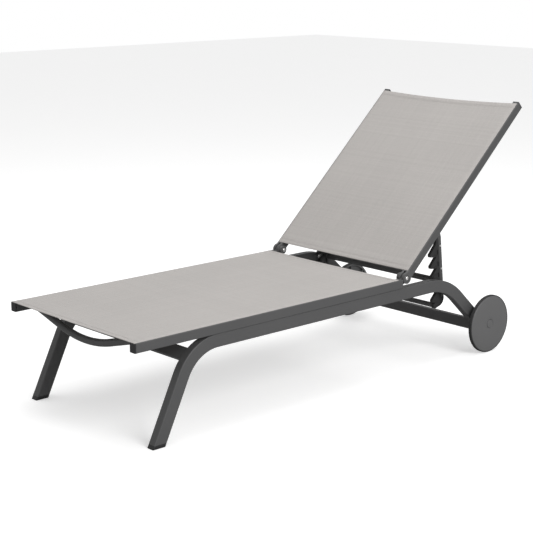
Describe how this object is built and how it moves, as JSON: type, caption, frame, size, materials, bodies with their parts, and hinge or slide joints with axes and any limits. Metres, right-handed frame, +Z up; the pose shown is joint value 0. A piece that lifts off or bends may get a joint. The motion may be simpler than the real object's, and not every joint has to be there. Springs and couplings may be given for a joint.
{
  "type": "reclining sun lounger",
  "caption": "Low garden lounger with a stretched mesh sling, a back rest that tilts on a toothed prop, curved side bows for legs and a pair of wheels at the head end.",
  "frame": {"origin": "bottom centre of the bounding box at rest, on the floor", "axes": "+X runs from the foot end to the head end, +Y is the lying user's right-hand side and +Z is up"},
  "size_m": [1.7924, 0.726, 0.909],
  "materials": {
    "coated_frame": "anthracite powder coat, fine grain, satin",
    "coated_prop": "anthracite powder coat, fine grain, satin",
    "coated_casting": "anthracite powder coat over a casting",
    "black_plastic": "moulded, fine matt grain",
    "wheel_plastic": "moulded, satin",
    "wheel_tread": "smooth moulded rubber",
    "bright_steel": "stainless, bright",
    "sling_fabric": "coated mesh weave, warm light grey",
    "keder_plastic": "extruded cord"
  },
  "bodies": {
    "base": {"seat_rail_left": "coated_frame", "seat_rail_right": "coated_frame", "seat_rail_cap_left": "black_plastic", "seat_rail_cap_right": "black_plastic", "hinge_bracket_left": "coated_casting", "hinge_bracket_right": "coated_casting", "side_bow_left": "coated_frame", "side_bow_right": "coated_frame", "foot_glide_left": "black_plastic", "foot_glide_right": "black_plastic", "bow_end_plug_left": "black_plastic", "bow_end_plug_right": "black_plastic", "catch_pin_left": "bright_steel", "catch_pin_right": "bright_steel", "axle_left": "bright_steel", "axle_right": "bright_steel", "axle_nut_left": "bright_steel", "axle_nut_right": "bright_steel", "hinge_bolt_left": "bright_steel", "hinge_bolt_right": "bright_steel", "hinge_nut_left": "bright_steel", "hinge_nut_right": "bright_steel", "rail_bolts": "bright_steel", "seat_front_tube": "coated_frame", "seat_rear_tube": "coated_frame", "front_leg_tube": "coated_frame", "axle_beam": "coated_frame", "axle_washers": "bright_steel", "seat_sling": "sling_fabric", "seat_keder_rods": "keder_plastic"},
    "back": {"back_rail_left": "coated_frame", "back_rail_right": "coated_frame", "back_rail_cap_left": "black_plastic", "back_rail_cap_right": "black_plastic", "hinge_end_left": "coated_casting", "hinge_end_right": "coated_casting", "prop_bolt_left": "bright_steel", "prop_bolt_right": "bright_steel", "back_lower_tube": "coated_frame", "back_top_tube": "coated_frame", "back_sling": "sling_fabric", "back_keder_rods": "keder_plastic", "prop_spacers": "black_plastic"},
    "prop": {"prop_strip_left": "coated_prop", "prop_strip_right": "coated_prop", "toothed_rack_left": "black_plastic", "toothed_rack_right": "black_plastic", "prop_cross_tube": "coated_prop", "tie_rod": "coated_prop", "rack_rivets": "bright_steel"},
    "wheel_left": {"wheel_left": "wheel_plastic", "wheel_tread_left": "wheel_tread", "hub_cap_left": "black_plastic"},
    "wheel_right": {"wheel_right": "wheel_plastic", "wheel_tread_right": "wheel_tread", "hub_cap_right": "black_plastic"}
  },
  "joints": [
    {"name": "recline", "type": "hinge", "parent": "base", "child": "back", "pos_m": [0.27877, 0, 0.344], "axis": [0, -1, 0], "range_deg": [-42.7, 27.1]},
    {"name": "prop_swing", "type": "hinge", "parent": "back", "child": "prop", "pos_m": [0.4625, 0, 0.51354], "axis": [0, -1, 0], "range_deg": [-7, 11]},
    {"name": "wheel_left_spin", "type": "hinge", "parent": "base", "child": "wheel_left", "pos_m": [0.70778, -0.345, 0.1075], "axis": [0, 1, 0], "continuous": true},
    {"name": "wheel_right_spin", "type": "hinge", "parent": "base", "child": "wheel_right", "pos_m": [0.70778, 0.345, 0.1075], "axis": [0, 1, 0], "continuous": true}
  ],
  "couplings": [
    {"joint": "prop_swing", "follows": "recline", "ratio": -0.25}
  ]
}
